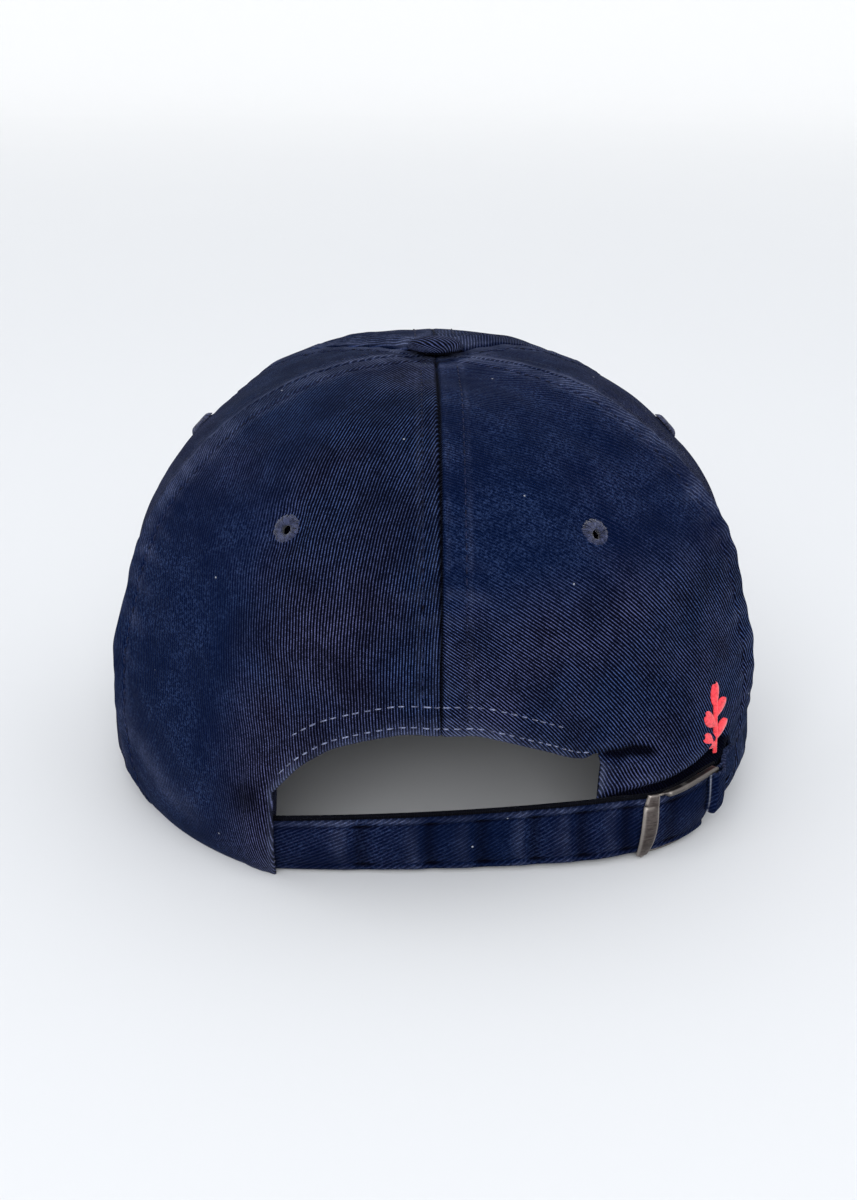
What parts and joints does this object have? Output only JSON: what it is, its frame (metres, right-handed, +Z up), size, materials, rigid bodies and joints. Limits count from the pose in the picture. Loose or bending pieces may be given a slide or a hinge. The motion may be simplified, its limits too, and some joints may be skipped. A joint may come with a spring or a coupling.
{
  "type": "baseball cap",
  "caption": "Soft cloth cap with a curved peak, covered top button, stitched eyelets, and an arched back opening closed by a cloth strap and metal slide buckle.",
  "frame": {"origin": "on the surface that the cap stands on, under the middle of its bounding box", "axes": "+Z up, +Y towards the peak, -Y towards the back opening, +X towards the buckle's side"},
  "size_m": [0.1906, 0.2572, 0.1247],
  "materials": {
    "twill": "washed cotton twill",
    "thread": "matt embroidery thread",
    "band": "plain cotton tape",
    "buckle_metal": "antiqued and brushed",
    "embroidery": "satin-stitched thread"
  },
  "bodies": {
    "root": {"panel_back_left": "twill", "panel_back_right": "twill", "panel_side_left": "twill", "panel_side_right": "twill", "panel_front_left": "twill", "panel_front_right": "twill", "top_button": "twill", "peak": "twill", "strap": "twill", "buckle_loop": "twill", "eyelet_back_left": "thread", "eyelet_back_right": "thread", "eyelet_side_left": "thread", "eyelet_side_right": "thread", "eyelet_front_left": "thread", "eyelet_front_right": "thread", "sweatband": "band", "buckle": "buckle_metal", "embroidery": "embroidery"}
  },
  "joints": []
}
